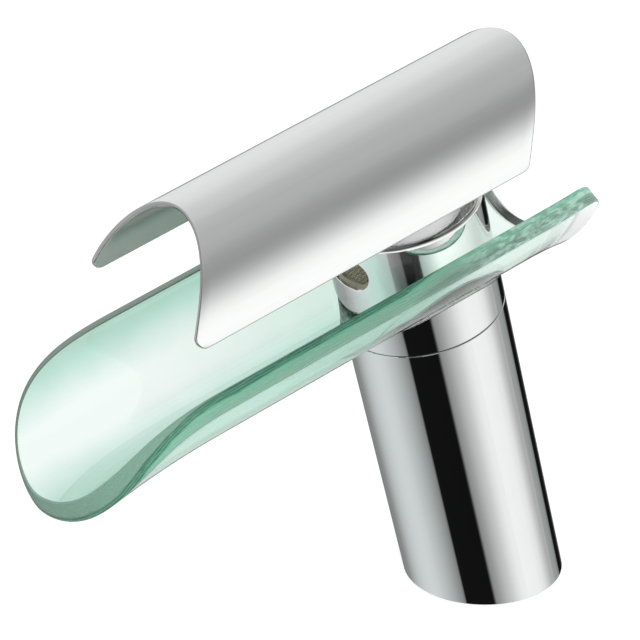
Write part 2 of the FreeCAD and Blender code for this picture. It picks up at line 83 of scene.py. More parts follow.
class TapTrough(bpy.types.PropertyGroup):
    """Sizes of the bent glass trough, as the frame has them."""
    axis_height: length("Bend axis", "Height of the bend's axis on the body's axis", 132.4)
    radius: length("Inner radius", "Radius of the bend inside the trough", 27.8)
    thickness: length("Thickness", "Thickness of the glass", 6.0)
    half_width: length("Half width", "Half the width of the blank before it is bent", 36.4)
    reach: length("Reach", "From the body's axis to the tip of the nose", 122.4)
    tail: length("Tail", "From the body's axis to the back edge, at the trough's bottom", 35.6)
    tail_slant: angle("Tail slant", "How far the back edge leans back", 20.0)
    nose: length("Nose", "Length of the rounded nose", 48.6)
    side_power: number("Side power", "Fullness of the nose across", 1.64)
    tip_power: number("Tip power", "Fullness of the nose lengthways", 3.9)
    corner: length("Tail corner", "Radius of the two back corners", 1.5)
    front_flare_length: length("Front flare", "Length over which the bend opens", 45.7)
    front_flare: number("Opening in front", "Share the radius grows by", 0.35)
    front_droop: length("Front droop", "How far the nose drops", 1.85)
    tail_start: length("Tail start", "Where the swelling of the tail starts", 24.0)
    tail_flare_length: length("Tail flare", "Length over which the tail swells", 14.0)
    tail_swell: length("Tail swell", "How much the radius grows", 1.0)
    tail_spread: length("Tail spread", "How much half the width grows", 3.5)
    hole_radius: length("Hole", "Radius of the hole for the neck", 17.5)
    arris: length("Arris", "Radius of the ground edges", 0.6)


class TapHandle(bpy.types.PropertyGroup):
    """Sizes of the bent sheet handle, as the frame has them."""
    axis_height: length("Bend axis", "Height of the bend's axis on the body's axis", 131.6)
    radius: length("Outer radius", "Radius of the sheet outside", 28.3)
    sheet: length("Sheet", "Thickness of the sheet", 1.4)
    half_angle: angle("Half angle", "Half the angle that the sheet spans", 79.2)
    front: length("Front", "From the body's axis to the hollow of the front edge", 62.2)
    length: length("Length", "Length along the top", 105.7)
    end_radius: length("End radius", "Radius of both ends, seen from above", 30.2)
    corner: length("Corner", "Radius of the four corners", 2.7)
    edge: length("Edge", "Rounding of the sheet's edges", 0.4)


class TapScreen(bpy.types.PropertyGroup):
    """Sizes of the woven wire screen in the slot."""
    radius: length("Radius", "Radius of the screen round the body's axis", 19.8)
    height: length("Height", "Height of the slot's middle on the body's axis", 118.8)
    half_width: length("Half width", "Half the width of the screen", 9.95)
    slot_radius: length("End radius", "Half the height of the screen", 4.65)
    pitch: length("Pitch", "Distance between wires", 0.72)
    wire: length("Wire", "Radius of a wire", 0.15)


class TapColours(bpy.types.PropertyGroup):
    """Colours of the finishes."""
    chrome: tone("Chrome", "Polished plate", (0.88, 0.885, 0.885))
    sheet: tone("Handle", "Soft-polished plate of the handle", (0.88, 0.88, 0.88))
    glass: tone("Glass", "What a long way through the glass leaves", (0.17, 0.83, 0.58))
    tint: number("Tint", "How strongly the glass absorbs, per metre", 12.0, min=0.0)


# ---- Places ----

LEAN = math.atan2(-swivel_axis.y, swivel_axis.z)
LEAN_TURN = Matrix.Rotation(LEAN, 3, 'X')


def placed(x, y, z):
    """A point in the tap's upright frame, in metres, brought to the deck's frame."""
    return LEAN_TURN @ Vector((x, y, z))


def place_all(points, height):
    """Brings vertices to the deck's frame, from a height on the tap's axis."""
    for point in points:
        point.co = placed(point.co.x, point.co.y, point.co.z + height)


def new_object(name, data):
    """A new object in the scene."""
    item = bpy.data.objects.new(name, data)
    bpy.context.scene.collection.objects.link(item)
    return item


def new_piece(name, mesh, body, slot_name, *nodes):
    """Puts a finished mesh on a body, in place of the nodes that it stands for."""
    piece = new_object(name, mesh)
    mesh.materials.clear()
    mesh.materials.append(finish(slot_name))
    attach(piece, body)
    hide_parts(*nodes)


# ---- Node trees ----

class Tree:
    """A node tree with short ways to add, fill and join nodes."""

    def __init__(self, tree):
        self.tree = tree
        tree.nodes.clear()

    def put(self, socket, value):
        """Joins an input to a socket or gives it a value; a colour may leave out its alpha."""
        if isinstance(value, bpy.types.NodeSocket):
            self.tree.links.new(value, socket)
        else:
            short = socket.type == 'RGBA' and len(value) == 3
            socket.default_value = (*value, 1) if short else value

    def add(self, kind, *values, **settings):
        """A node with its own settings; the values go to its first inputs."""
        node = self.tree.nodes.new(kind)
        for key, value in settings.items():
            setattr(node, key, value)
        for socket, value in zip(node.inputs, values):
            self.put(socket, value)
        return node

    def fill(self, node, **values):
        """Puts values on a node's inputs by their names."""
        for key, value in values.items():
            self.put(node.inputs[key.replace("_", " ")], value)
        return node

    def made(self, kind, **values):
        """The first output of a node filled by its inputs' names."""
        return self.fill(self.add(kind), **values).outputs[0]

    def calc(self, operation, *values):
        return self.add("ShaderNodeMath", *values, operation=operation).outputs[0]

    def times(self, first, second):
        return self.calc('MULTIPLY', first, second)

    def plus(self, first, second):
        return self.calc('ADD', first, second)

    def split(self, vector):
        """The three parts of a vector."""
        return tuple(self.add("ShaderNodeSeparateXYZ", vector).outputs)

    def spread(self, value, low, high, start=0.3, end=0.7, curve='LINEAR'):
        """Maps a value's usual range to low and high."""
        node = self.add("ShaderNodeMapRange", interpolation_type=curve)
        return self.fill(node, Value=value, From_Min=start, From_Max=end, To_Min=low,
                         To_Max=high).outputs["Result"]

    def mix(self, factor, first, second, kind='MIX'):
        """Two colours blended by a factor."""
        node = self.add("ShaderNodeMix", data_type='RGBA', blend_type=kind)
        return self.fill(node, Factor=factor, A=first, B=second).outputs["Result"]

    def ramp(self, value, stops):
        """A colour by a value from 0 to 1, from (place, colour) stops."""
        node = self.add("ShaderNodeValToRGB", value)
        elements = node.color_ramp.elements
        elements.remove(elements[-1])
        for place, (position, colour) in enumerate(stops):
            element = elements[0] if place == 0 else elements.new(position)
            element.position = position
            element.color = (*colour, 1)
        return node.outputs["Color"]


class Shading(Tree):
    """The node tree of one slot's finish, round its surface shader."""

    def __init__(self, slot_name, **values):
        material = bpy.data.materials.new("finish_" + slot_name)
        material.use_nodes = True
        super().__init__(material.node_tree)
        self.surface = self.add("ShaderNodeBsdfPrincipled")
        self.output = self.add("ShaderNodeOutputMaterial", self.surface.outputs["BSDF"])
        self.give(**values)

    def give(self, **values):
        """Puts sockets or plain values on the surface shader's own inputs."""
        self.fill(self.surface, **values)

    def coordinates(self, scale=(1, 1, 1), upright=False, source="Object"):
        """Object coordinates, turned to the tap's own axis where asked, and stretched."""
        vector = self.add("ShaderNodeTexCoord").outputs[source]
        if upright:
            vector = self.made("ShaderNodeMapping", Vector=vector, Rotation=(-LEAN, 0, 0))
        return self.made("ShaderNodeMapping", Vector=vector, Scale=scale)

    def noise(self, vector, scale, detail=3.0, roughness=0.55):
        return self.made("ShaderNodeTexNoise", Vector=vector, Scale=scale, Detail=detail,
                         Roughness=roughness)

    def attribute(self, name):
        return self.add("ShaderNodeAttribute", attribute_name=name).outputs["Fac"]

    def within(self, value, low, high):
        """1 between low and high, otherwise 0."""
        return self.calc('COMPARE', value, (low + high) / 2, (high - low) / 2)

    def tinted(self, value, colour, share):
        """A colour that falls to a share of itself where the value is low."""
        return self.mix(self.spread(value, 0.0, 1.0), darker(colour, share), colour)

    def bump(self, height, strength, distance):
        self.give(Normal=self.made("ShaderNodeBump", Height=height, Strength=strength,
                                   Distance=distance))


def linear(value):
    """A screen tone from 0 to 255 as light."""
    share = value / 255
    if share <= 0.04045:
        return share / 12.92
    return ((share + 0.055) / 1.055) ** 2.4


def darker(colour, share):
    """A colour brought down evenly."""
    return tuple(channel * share for channel in colour)


def record_colour(slot_name):
    """The colour that the record gives a material slot."""
    return tuple(slots[slot_name]["base_color"][:3])


# ---- Finishes ----

# Zones of the plate, in millimetres: heights on the body's axis, then radii round it.
WELL = (117.0, 131.0), (15.0, 21.15)
SEAM = (92.86, 93.14), (22.0, 23.0)
# The well's dull satin, painted near-white in place of the bright reflections on the polished hub side.
WELL_SATIN_AND_LIGHT = (0.97, 0.97, 0.97)
# Painted shade in the seam, where the gap between the plated parts lies in shade.
SEAM_SHADE_COLOUR = (0.1, 0.1, 0.1)
# Painted shade on the handle's underside.
UNDERSIDE_SHADE_COLOUR = (0.385, 0.39, 0.375)
PLATED_BRASS = (0.85, 0.86, 0.85)


def polished_chrome(slot_name):
    """Mirror plate with a trace of haze; in the well under the hub, dull satin painted near-white in place of
    bright reflections; painted shade in the seam.
    """
    colour = tuple(bpy.context.scene.tap_colours.chrome)
    look = Shading(slot_name)
    place = look.coordinates(upright=True)
    height = look.split(place)[2]
    level = look.add("ShaderNodeVectorMath", place, (1, 1, 0), operation='MULTIPLY')
    radius = look.add("ShaderNodeVectorMath", level.outputs["Vector"], operation='LENGTH')

    def zone(heights, radii):
        return look.times(look.within(height, heights[0] * MM, heights[1] * MM),
                          look.within(radius.outputs["Value"], radii[0] * MM, radii[1] * MM))

    well = zone(*WELL)
    plate = look.tinted(look.noise(place, 90.0, 5.0), colour, 0.985)
    # In the well and on the hub's side, dull satin painted near-white in place of bright reflections.
    dulled_and_lit = look.mix(well, plate, WELL_SATIN_AND_LIGHT)
    fine = look.noise(look.coordinates((400, 400, 60), upright=True), 6.0, 4.0)
    # Painted shade in the seam.
    look.give(Base_Color=look.mix(zone(*SEAM), dulled_and_lit, SEAM_SHADE_COLOUR),
              Metallic=look.spread(well, 1.0, 0.2, 0.0, 1.0),
              Roughness=look.calc('MAXIMUM', look.spread(fine, 0.012, 0.045),
                                  look.times(well, 0.45)))
    look.bump(look.noise(place, 55.0, 2.0), 0.05, 0.00002)


def soft_sheet(slot_name):
    """Soft-polished plate with fine lines along the handle; painted darker on its rounded edges, and with painted
    shade on its rougher underside.
    """
    colour = tuple(bpy.context.scene.tap_colours.sheet)
    look = Shading(slot_name, Metallic=1.0)
    lines = look.noise(look.coordinates((3200, 40, 3200), upright=True), 1.0, 4.0, 0.7)
    cloud = look.noise(look.coordinates(upright=True), 45.0, 3.0)
    inner = look.attribute("inner")
    # The rounded edges are painted at half the plate's brightness, and the underside with painted shade.
    trimmed = look.mix(look.attribute("ground"), look.tinted(lines, colour, 0.97),
                       darker(colour, 0.5))
    look.give(Base_Color=look.mix(inner, trimmed, UNDERSIDE_SHADE_COLOUR),
              Roughness=look.calc('MAXIMUM', look.spread(cloud, 0.085, 0.125),
                                  look.times(inner, 0.3)))
    look.bump(lines, 0.04, 0.00001)


# What the glass lets through across its width, with painted shading where the bend turns away: millimetres from
# the middle, then shares of light.
ACROSS_INSIDE = (
    (-36, (0.45, 0.65, 0.55)), (-32, (0.53, 0.76, 0.68)), (-28, (0.69, 0.86, 0.8)),
    (-24, (0.85, 0.94, 0.91)), (-20, (0.98, 1.0, 0.99)), (-9, (0.97, 1.0, 0.99)),
    (-5, (0.84, 0.93, 0.9)), (0, (0.7, 0.85, 0.8)), (4, (0.62, 0.79, 0.73)),
    (8, (0.53, 0.73, 0.66)), (13, (0.48, 0.71, 0.62)), (19, (0.5, 0.74, 0.65)),
    (24, (0.8, 0.9, 0.86)), (30, (1.0, 1.0, 1.0)),
)
ACROSS_OUTSIDE = ACROSS_INSIDE[:11] + (
    (20, (0.42, 0.68, 0.58)), (24, (0.36, 0.64, 0.54)), (27, (0.45, 0.72, 0.62)),
    (30, (0.8, 0.93, 0.88)), (33, (1.0, 1.0, 1.0)),
)
# The same lengthways, in front of the body.
FORWARD_GLASS = (
    (-5, (1.0, 1.0, 1.0)), (12, (0.8, 0.91, 0.87)), (30, (0.82, 0.92, 0.88)), (75, (1.0, 1.0, 1.0)),
)
# The ground edge from the outer face to the inner one, painted green with dark lines that stand in for light
# running along the glass and reflections in it, and how far these lines lie outwards.
GROUND_GLASS = (
    (0.0, (0.17, 0.27, 0.22)), (0.08, (0.195, 0.36, 0.27)), (0.35, (0.2, 0.4, 0.3)),
    (0.55, (0.175, 0.42, 0.3)), (0.62, (0.11, 0.31, 0.21)), (0.68, (0.035, 0.12, 0.08)),
    (0.74, (0.12, 0.34, 0.24)), (0.79, (0.03, 0.1, 0.065)), (0.85, (0.1, 0.3, 0.21)),
    (0.91, (0.035, 0.11, 0.075)), (1.0, (0.17, 0.31, 0.24)),
)
EDGE_REFLECTION_SHIFT = ((-40, 0.0), (6, 0.0), (20, 0.34), (52, 0.36), (80, 0.42), (87, 0.5), (93, 0.62),
                (100, 0.78), (110, 1.0))
# Colours of the ground edge's speckles and patches; painted shade on its far side, and painted light on its far
# side behind the body, on the cut at the back and on the glass behind the body.
SPECKLE, PATCH = (0.5, 0.8, 0.68), (0.4, 0.72, 0.58)
FAR_EDGE_SHADE, FAR_BACK_LIGHT = (0.07, 0.115, 0.085), (0.92, 1.0, 0.96)
BACK_CUT_LIGHT, BACK_GLASS_LIGHT = (0.75, 0.9, 0.84), (0.97, 1.0, 0.985)


def green_glass(slot_name):
    """Float glass with painted shading, greener where the bend turns away; its streaky ground edges carry painted
    glow and dark reflections.
    """
    settings = bpy.context.scene.tap_trough
    colours = bpy.context.scene.tap_colours
    look = Shading(slot_name, IOR=1.5)
    flat = look.coordinates(source="UV")
    flat_x, flat_y, _ = look.split(flat)
    x, y, z = look.split(look.coordinates(upright=True))
    forward = look.times(y, -1.0)
    inner = look.attribute("inner")
    inside = look.add("ShaderNodeNewGeometry").outputs["Backfacing"]
    to_far = (0.0, -18 * MM, -6 * MM)

    def by_length(value, stops):
        """A colour by a length, from (millimetres, colour) stops."""
        low, high = stops[0][0], stops[-1][0]
        share = look.spread(value, 0.0, 1.0, low * MM, high * MM)
        return look.ramp(share, [((mm - low) / (high - low), colour) for mm, colour in stops])

    def stretched_noise(along, across, *detail):
        return look.noise(look.coordinates((along, across, 1), source="UV"), 1.0, *detail)

    def without(value):
        """1 where the value is 0, and 0 where it is 1."""
        return look.spread(value, 1.0, 0.0, 0.0, 1.0)

    # The clear faces, with painted shading across and lengthways.
    across = look.plus(flat_x, look.spread(look.noise(flat, 60.0, 2.0), -1.2 * MM, 1.2 * MM))
    face = look.mix(inner, by_length(across, ACROSS_OUTSIDE), by_length(across, ACROSS_INSIDE))
    face = look.mix(1.0, face, by_length(flat_y, FORWARD_GLASS), 'MULTIPLY')

    # Places near the slanting cut at the back.
    slant = math.tan(settings.tail_slant)
    cut = settings.tail - (settings.axis_height - settings.radius) * slant - 0.8 * MM
    to_cut = look.plus(y, look.times(z, -slant))
    rear = look.spread(to_cut, 0.0, 1.0, cut - 0.2 * MM, cut)
    tail = look.spread(to_cut, 0.0, 1.0, cut - 9.0 * MM, cut - 5.0 * MM)
    behind = look.spread(forward, 1.0, 0.0, -12 * MM, 6 * MM)
    clear = look.times(look.times(rear, inside), look.spread(x, 0.0, 1.0, *to_far[1:]))
    ground = look.times(look.attribute("ground"), look.spread(clear, 1.0, 0.2, 0.0, 1.0))

    # The ground edge, with its painted glow and reflections.
    streaks = stretched_noise(120, 2600, 6.0, 0.75)
    unevenness = look.plus(look.spread(stretched_noise(55, 260, 2.0), -0.3 * MM, 0.3 * MM),
                           look.spread(streaks, -0.35 * MM, 0.35 * MM))
    half = settings.thickness / 2
    depth = look.spread(look.plus(flat_y, unevenness), 0.0, 1.0, half, -half)
    shift = by_length(forward, [(mm, (value, value, value)) for mm, value in EDGE_REFLECTION_SHIFT])
    band = look.ramp(look.plus(depth, look.spread(shift, -0.38, 0.72, 0.0, 1.0)), GROUND_GLASS)
    speckle = look.spread(look.noise(flat, 1300.0, 3.0, 0.7), 0.0, 0.45, 0.6, 0.8)
    patches = look.spread(stretched_noise(260, 650, 3.0, 0.7), 0.0, 0.55, 0.44, 0.6)
    band = look.mix(speckle, band, SPECKLE, 'SCREEN')
    band = look.mix(look.times(patches, behind), band, PATCH, 'SCREEN')
    # Painted shade on the far side's edge; painted light on it behind the body, on the cut at the back and on the
    # glass behind the body and in the tail.
    band = look.mix(look.times(look.spread(x, 0.8, *to_far), without(behind)), band, FAR_EDGE_SHADE)
    band = look.mix(look.times(look.spread(x, 0.75, *to_far), behind), band, FAR_BACK_LIGHT)
    band = look.mix(look.times(rear, 0.5), band, BACK_CUT_LIGHT)
    face = look.mix(look.plus(look.times(behind, 0.75), look.times(tail, 0.2)), face, BACK_GLASS_LIGHT)

    # Less goes through the outer face in the tail, so that its painted light shows there.
    painted_pale = look.times(look.times(tail, look.spread(inner, 0.86, 0.0, 0.0, 1.0)), without(inside))
    look.give(Base_Color=look.mix(ground, face, band),
              Roughness=look.times(look.spread(streaks, 0.16, 0.4), ground),
              Transmission_Weight=look.times(look.spread(ground, 1.0, 0.12, 0.0, 1.0),
                                             without(painted_pale)))
    look.bump(look.times(streaks, ground), 0.3, 0.0002)
    absorb = look.add("ShaderNodeVolumeAbsorption", tuple(colours.glass), colours.tint)
    look.fill(look.output, Volume=absorb.outputs["Volume"])


def turned_metal(slot_name, low, high, plated_from=None):
    """Turned metal with fine rings across the tap's axis, plated above a height where asked."""
    look = Shading(slot_name, Metallic=1.0)
    rings = look.noise(look.coordinates((30, 30, 5200), upright=True), 1.0, 3.0)
    cloud = look.noise(look.coordinates(), 160.0, 3.0)
    shade = look.tinted(cloud, record_colour(slot_name), 0.86)
    if plated_from is not None:
        height = look.split(look.coordinates(upright=True))[2]
        shade = look.mix(look.within(height, plated_from, 2 * plated_from), shade, PLATED_BRASS)
    look.give(Base_Color=shade, Roughness=look.spread(rings, low, high))
    look.bump(rings, 0.25, 0.00001)


def uneven(slot_name, own, patches, colours, rough, grain, strength, depth):
    """A plain finish: the surface's own values, the scale and detail of its patches, its two
    colours or the share that the record's colour falls to, its range of roughness, and the scale
    and detail, strength and depth of its grain."""
    look = Shading(slot_name, **own)
    place = look.coordinates()
    cloud = look.noise(place, *patches)
    if isinstance(colours, float):
        colour = look.tinted(cloud, record_colour(slot_name), colours)
    else:
        colour = look.mix(look.spread(cloud, 0.0, 1.0), *colours)
    look.give(Base_Color=colour, Roughness=look.spread(cloud, *rough))
    look.bump(look.noise(place, *grain), strength, depth)


# Each slot's finish and its values; silicone is translucent, the wire is dull and slightly warm.
PATCHES, SATIN_GRAIN = (120.0, 3.0), ((900.0, 3.0), 0.3, 0.00003)
WIRE_COLOURS = (0.3, 0.29, 0.21), (0.5, 0.49, 0.38)
FINISHES = {
    "chrome_body": (polished_chrome,),
    "chrome_hub": (polished_chrome,),
    "handle_sheet": (soft_sheet,),
    "green_glass": (green_glass,),
    "clear_seal": (uneven, {"IOR": 1.42, "Transmission_Weight": 0.55}, (300.0, 3.0), 0.93,
                   (0.22, 0.34), (1400.0, 2.0), 0.2, 0.00002),
    "black_rubber": (uneven, {}, PATCHES, 0.88, (0.56, 0.68), (1500.0, 3.0), 0.3, 0.00005),
    "brass": (turned_metal, 0.2, 0.34, 104.0 * MM),
    "wire_screen": (uneven, {"Metallic": 0.45}, (500.0, 3.0), WIRE_COLOURS, (0.3, 0.5),
                    (500.0, 3.0), 0.2, 0.00002),
    "white_plastic": (uneven, {}, PATCHES, 0.88, (0.36, 0.48), *SATIN_GRAIN),
    "grey_plastic": (uneven, {}, PATCHES, 0.88, (0.42, 0.54), *SATIN_GRAIN),
    "ceramic": (uneven, {"IOR": 1.7}, (2600.0, 2.0), 0.9, (0.1, 0.2), (2600.0, 2.0), 0.1,
                0.000005),
    "steel": (turned_metal, 0.16, 0.3),
}


def finish(slot_name):
    """The finish of one of the record's slots, made once."""
    name = "finish_" + slot_name
    if name not in bpy.data.materials:
        maker, *values = FINISHES[slot_name]
        maker(slot_name, *values)
    return bpy.data.materials[name]


# ---- Bent sheets ----

def to_mesh(name, work):
    """The mesh of a closed skin, with its faces turned outwards."""
    bmesh.ops.recalc_face_normals(work, faces=work.faces)
    mesh = bpy.data.meshes.new(name)
    work.to_mesh(mesh)
    work.free()
    return mesh


def unit(u, v):
    """A flat direction of length one."""
    size = math.hypot(u, v)
    return (u / size, v / size)


def right_of(before, after):
    """The normal to the right of a flat line."""
    return unit(after[1] - before[1], before[0] - after[0])


def mirrored(points):
    """Flat points or directions of the other side, in reverse order."""
    return [(-u, v) for u, v in reversed(points)]


def arc(centre, radius, first, last, steps):
    """Points round a centre from one angle to another, and their outward normals."""
    turns = [first + (last - first) * step / steps for step in range(steps + 1)]
    outs = [(math.cos(turn), math.sin(turn)) for turn in turns]
    return [(centre[0] + radius * u, centre[1] + radius * v) for u, v in outs], outs


def edge_profile(thickness, rounding, steps=5, flats=3):
    """(inset, offset) pairs across a sheet's edge, from its outer face to its inner face."""
    flat = thickness / 2 - rounding
    corner, _ = arc((0.0, flat), rounding, math.pi / 2, 0.0, steps)
    points = [(rounding - u, v) for u, v in corner]
    middle = [(0.0, flat - 2 * flat * (step + 1) / (flats + 1)) for step in range(flats)]
    return points + middle + [(inset, -offset) for inset, offset in reversed(points)]


def bent_sheet(name, rows, outward, thickness, rounding, bend):
    """A closed sheet over a grid of flat points: bend(u, v, offset) takes each to its place.

    rows are equal lists of (u, v) on the blank's true outline; outward gives each boundary point's
    normal, in the order of the boundary loop. The edges are rounded and marked as ground."""
    last_row = len(rows) - 1
    last_column = len(rows[0]) - 1
    loop = [(0, column) for column in range(last_column + 1)]
    loop += [(row, last_column) for row in range(1, last_row + 1)]
    loop += [(last_row, column) for column in range(last_column - 1, -1, -1)]
    loop += [(row, 0) for row in range(last_row - 1, 0, -1)]
    grid = [list(row) for row in rows]
    for (row, column), (nu, nv) in zip(loop, outward):
        u, v = rows[row][column]
        grid[row][column] = (u - rounding * nu, v - rounding * nv)
    for row in range(1, last_row):
        shifts = [[after - before for after, before in zip(grid[row][end], rows[row][end])]
                  for end in (0, -1)]
        for column in range(1, last_column):
            share = column / last_column
            grid[row][column] = tuple(value + first + (last - first) * share for value, first, last
                                      in zip(rows[row][column], *shifts))

    work = bmesh.new()
    ground = work.verts.layers.float.new("ground")
    inner = work.verts.layers.float.new("inner")
    layer = work.loops.layers.uv.new("UVMap")

    def add_face(corners):
        """A smooth face from (vertex, flat place) corners."""
        face = work.faces.new([vert for vert, _ in corners])
        face.smooth = True
        for corner, (_, place) in zip(face.loops, corners):
            corner[layer].uv = place

    sides = [[[work.verts.new(bend(u, v, offset)) for u, v in row] for row in grid]
             for offset in (thickness / 2, -thickness / 2)]
    for row in sides[1]:
        for vert in row:
            vert[inner] = 1.0
    profile = edge_profile(thickness, rounding)
    rings = [[sides[0][row][column] for row, column in loop]]
    for inset, offset in profile[1:-1]:
        ring = []
        for (row, column), (nu, nv) in zip(loop, outward):
            u, v = rows[row][column]
            ring.append(work.verts.new(bend(u - inset * nu, v - inset * nv, offset)))
            ring[-1][ground] = 1.0
        rings.append(ring)
    rings.append([sides[1][row][column] for row, column in loop])

    for side in sides:
        for row in range(last_row):
            for column in range(last_column):
                around = ((row, column), (row, column + 1), (row + 1, column + 1),
                          (row + 1, column))
                add_face([(side[r][c], grid[r][c]) for r, c in around])
    run = [0.0]
    for (row, column), (next_row, next_column) in zip(loop, loop[1:] + loop[:1]):
        run.append(run[-1] + math.dist(rows[row][column], rows[next_row][next_column]))
    for band in range(len(rings) - 1):
        low, high = profile[band][1], profile[band + 1][1]
        for place in range(len(loop)):
            following = (place + 1) % len(loop)
            add_face([(rings[band][place], (run[place], low)),
                      (rings[band][following], (run[place + 1], low)),
                      (rings[band + 1][following], (run[place + 1], high)),
                      (rings[band + 1][place], (run[place], high))])
    return to_mesh(name, work)


# ---- Glass ----

SLOPE_STEP = 0.01 * MM


def to_tail(trough, forward):
    """How far into the swelling tail a place lies, 1 at its nominal length."""
    return max(0.0, -forward - trough.tail_start) / trough.tail_flare_length


def tail_share(trough, forward, end):
    """How far a place lies from the tail's start to an end behind it, from 0 to 1."""
    return min(1.0, max(0.0, -forward - trough.tail_start) / (end - trough.tail_start))


def trough_bend(trough):
    """The bend of the trough: flat place and offset to a place on the tap.

    Behind the body, places slide along with the slanting cut of the back edge."""
    middle_radius = trough.radius + trough.thickness / 2
    front_start = trough.reach - trough.front_flare_length

    def bend(across, forward, offset):
        to_front = max(0.0, forward - front_start) / trough.front_flare_length
        swell = trough.tail_swell * to_tail(trough, forward) ** 2
        drop = trough.front_droop * to_front ** 2 + swell
        middle = middle_radius * (1 + trough.front_flare * to_front ** 2) + swell
        centre = trough.axis_height - middle_radius + middle - drop
        turn = across / middle
        radius = middle + offset
        share = tail_share(trough, forward, trough.tail)
        slide = share * math.tan(trough.tail_slant) * math.cos(turn) * offset
        return placed(radius * math.sin(turn), -forward - slide, centre - radius * math.cos(turn))

    return bend


def tail_edge(trough, across):
    """How far behind the body's axis the back edge runs, in the middle of the glass."""
    middle_radius = trough.radius + trough.thickness / 2
    foot = trough.axis_height - trough.radius
    reach = trough.tail
    for _ in range(25):
        middle = middle_radius + trough.tail_swell * to_tail(trough, -reach) ** 2
        height = trough.axis_height - middle * math.cos(across / middle)
        reach = trough.tail + math.tan(trough.tail_slant) * (height - foot)
    return reach


def side_edge(trough, forward):
    """Half the blank's width behind the body."""
    return trough.half_width + trough.tail_spread * to_tail(trough, forward) ** 2


def side_normal(trough, forward):
    """The outward normal of the blank's side."""
    widening = side_edge(trough, forward - SLOPE_STEP) - side_edge(trough, forward)
    return unit(1.0, widening / SLOPE_STEP)


def tail_corner(trough, steps=8):
    """The rounded back corner between the back edge and the side: points and outward normals."""
    across = trough.half_width
    for _ in range(40):
        reach = tail_edge(trough, across)
        across = side_edge(trough, -reach)
    slope = (tail_edge(trough, across) - tail_edge(trough, across - SLOPE_STEP)) / SLOPE_STEP
    back_out = unit(-slope, -1.0)
    side_out = side_normal(trough, -reach)
    first, last = math.atan2(back_out[1], back_out[0]), math.atan2(side_out[1], side_out[0])
    inwards = trough.corner / math.cos((last - first) / 2)
    middle = (first + last) / 2
    centre = (across - inwards * math.cos(middle), -reach - inwards * math.sin(middle))
    return arc(centre, trough.corner, first, last, steps)


def trough_outline(trough, side_rows=72, nose_samples=90, nose_rows=110):
    """The right side of the blank from its tail to its tip: points and outward normals."""
    points, normals = tail_corner(trough)
    corner_end = points[-1][1]
    nose_start = trough.reach - trough.nose
    for place in range(1, side_rows):
        forward = corner_end + (nose_start - corner_end) * place / side_rows
        points.append((side_edge(trough, forward), forward))
        normals.append(side_normal(trough, forward))
    nose = []
    for place in range(nose_samples):
        turn = math.radians(87.0) * place / (nose_samples - 1)
        forward = nose_start + trough.nose * math.sin(turn) ** (2 / trough.tip_power)
        nose.append((trough.half_width * math.cos(turn) ** (2 / trough.side_power), forward))
    even = evened(nose, nose_rows)
    for place, point in enumerate(even):
        points.append(point)
        normals.append(right_of(even[max(0, place - 1)], even[min(nose_rows - 1, place + 1)]))
    normals[-1] = (0.0, 1.0)
    return points, normals


def evened(points, count):
    """The same line through count points at even distances."""
    run = [0.0]
    for first, second in zip(points, points[1:]):
        run.append(run[-1] + math.dist(first, second))
    result = []
    place = 0
    for step in range(count):
        target = run[-1] * step / (count - 1)
        while place < len(run) - 2 and run[place + 1] < target:
            place += 1
        share = (target - run[place]) / max(1e-12, run[place + 1] - run[place])
        result.append(tuple(a + (b - a) * share for a, b in zip(points[place], points[place + 1])))
    return result


def make_trough():
    """The bent glass with its ground edges and the hole for the neck."""
    trough = bpy.context.scene.tap_trough
    points, normals = trough_outline(trough)
    columns = 72
    back_start = tail_edge(trough, points[0][0])
    rows = []
    for width, forward in points:
        follow = tail_share(trough, forward, back_start)
        row = []
        for column in range(columns + 1):
            across = -width + 2 * width * column / columns
            hollow = tail_edge(trough, width) - tail_edge(trough, across)
            row.append((across, forward + follow * hollow))
        rows.append(row)
    outward = mirrored(normals[:1])
    outward += [right_of(before, after) for before, after in zip(rows[0], rows[0][2:])]
    outward += normals + [(0.0, 1.0)] * (columns - 1) + mirrored(normals[1:])
    work = bmesh.new()
    bmesh.ops.create_cone(work, cap_ends=True, segments=160, radius1=trough.hole_radius,
                          radius2=trough.hole_radius, depth=2 * trough.radius)
    place_all(work.verts, trough.axis_height - trough.radius)
    cutter = new_object("neck_hole", to_mesh("neck_hole", work))
    blank = bent_sheet("glass_blank", rows, outward, trough.thickness, trough.arris,
                       trough_bend(trough))
    bent = new_object("glass_blank", blank)
    hole = bent.modifiers.new("hole", 'BOOLEAN')
    hole.object = cutter
    hole.operation = 'DIFFERENCE'
    hole.solver = 'EXACT'
    result = evaluated(bent, "bent_glass")
    bpy.data.objects.remove(cutter)
    result.shade_smooth()
    result.set_sharp_from_angle(angle=math.radians(40))
    new_piece("bent_glass", result, "root", "green_glass", "glass_trough")


def evaluated(piece, name):
    """The mesh that a piece has after its modifiers; the piece itself goes."""
    depsgraph = bpy.context.evaluated_depsgraph_get()
    mesh = bpy.data.meshes.new_from_object(piece.evaluated_get(depsgraph))
    mesh.name = name
    bpy.data.objects.remove(piece)
    return mesh


# ---- Handle ----

def rounded_end(edge, side, radius, count=60, corner_count=14):
    """An end of the sheet from its middle to its side edge, the corner rounded.

    edge(w) gives the place along the sheet and its outward normal."""
    low, high = 0.0, side
    for _ in range(60):
        middle = (low + high) / 2
        _, normal = edge(middle)
        if middle - radius * normal[0] < side - radius:
            low = middle
        else:
            high = middle
    along, normal = edge(low)
    points, normals = [], []
    for step in range(count):
        w = low * step / count
        place, out = edge(w)
        points.append((w, place))
        normals.append(out)
    corner, outs = arc((side - radius, along - radius * normal[1]), radius,
                       math.atan2(normal[1], normal[0]), 0.0, corner_count)
    return points + corner, normals + outs


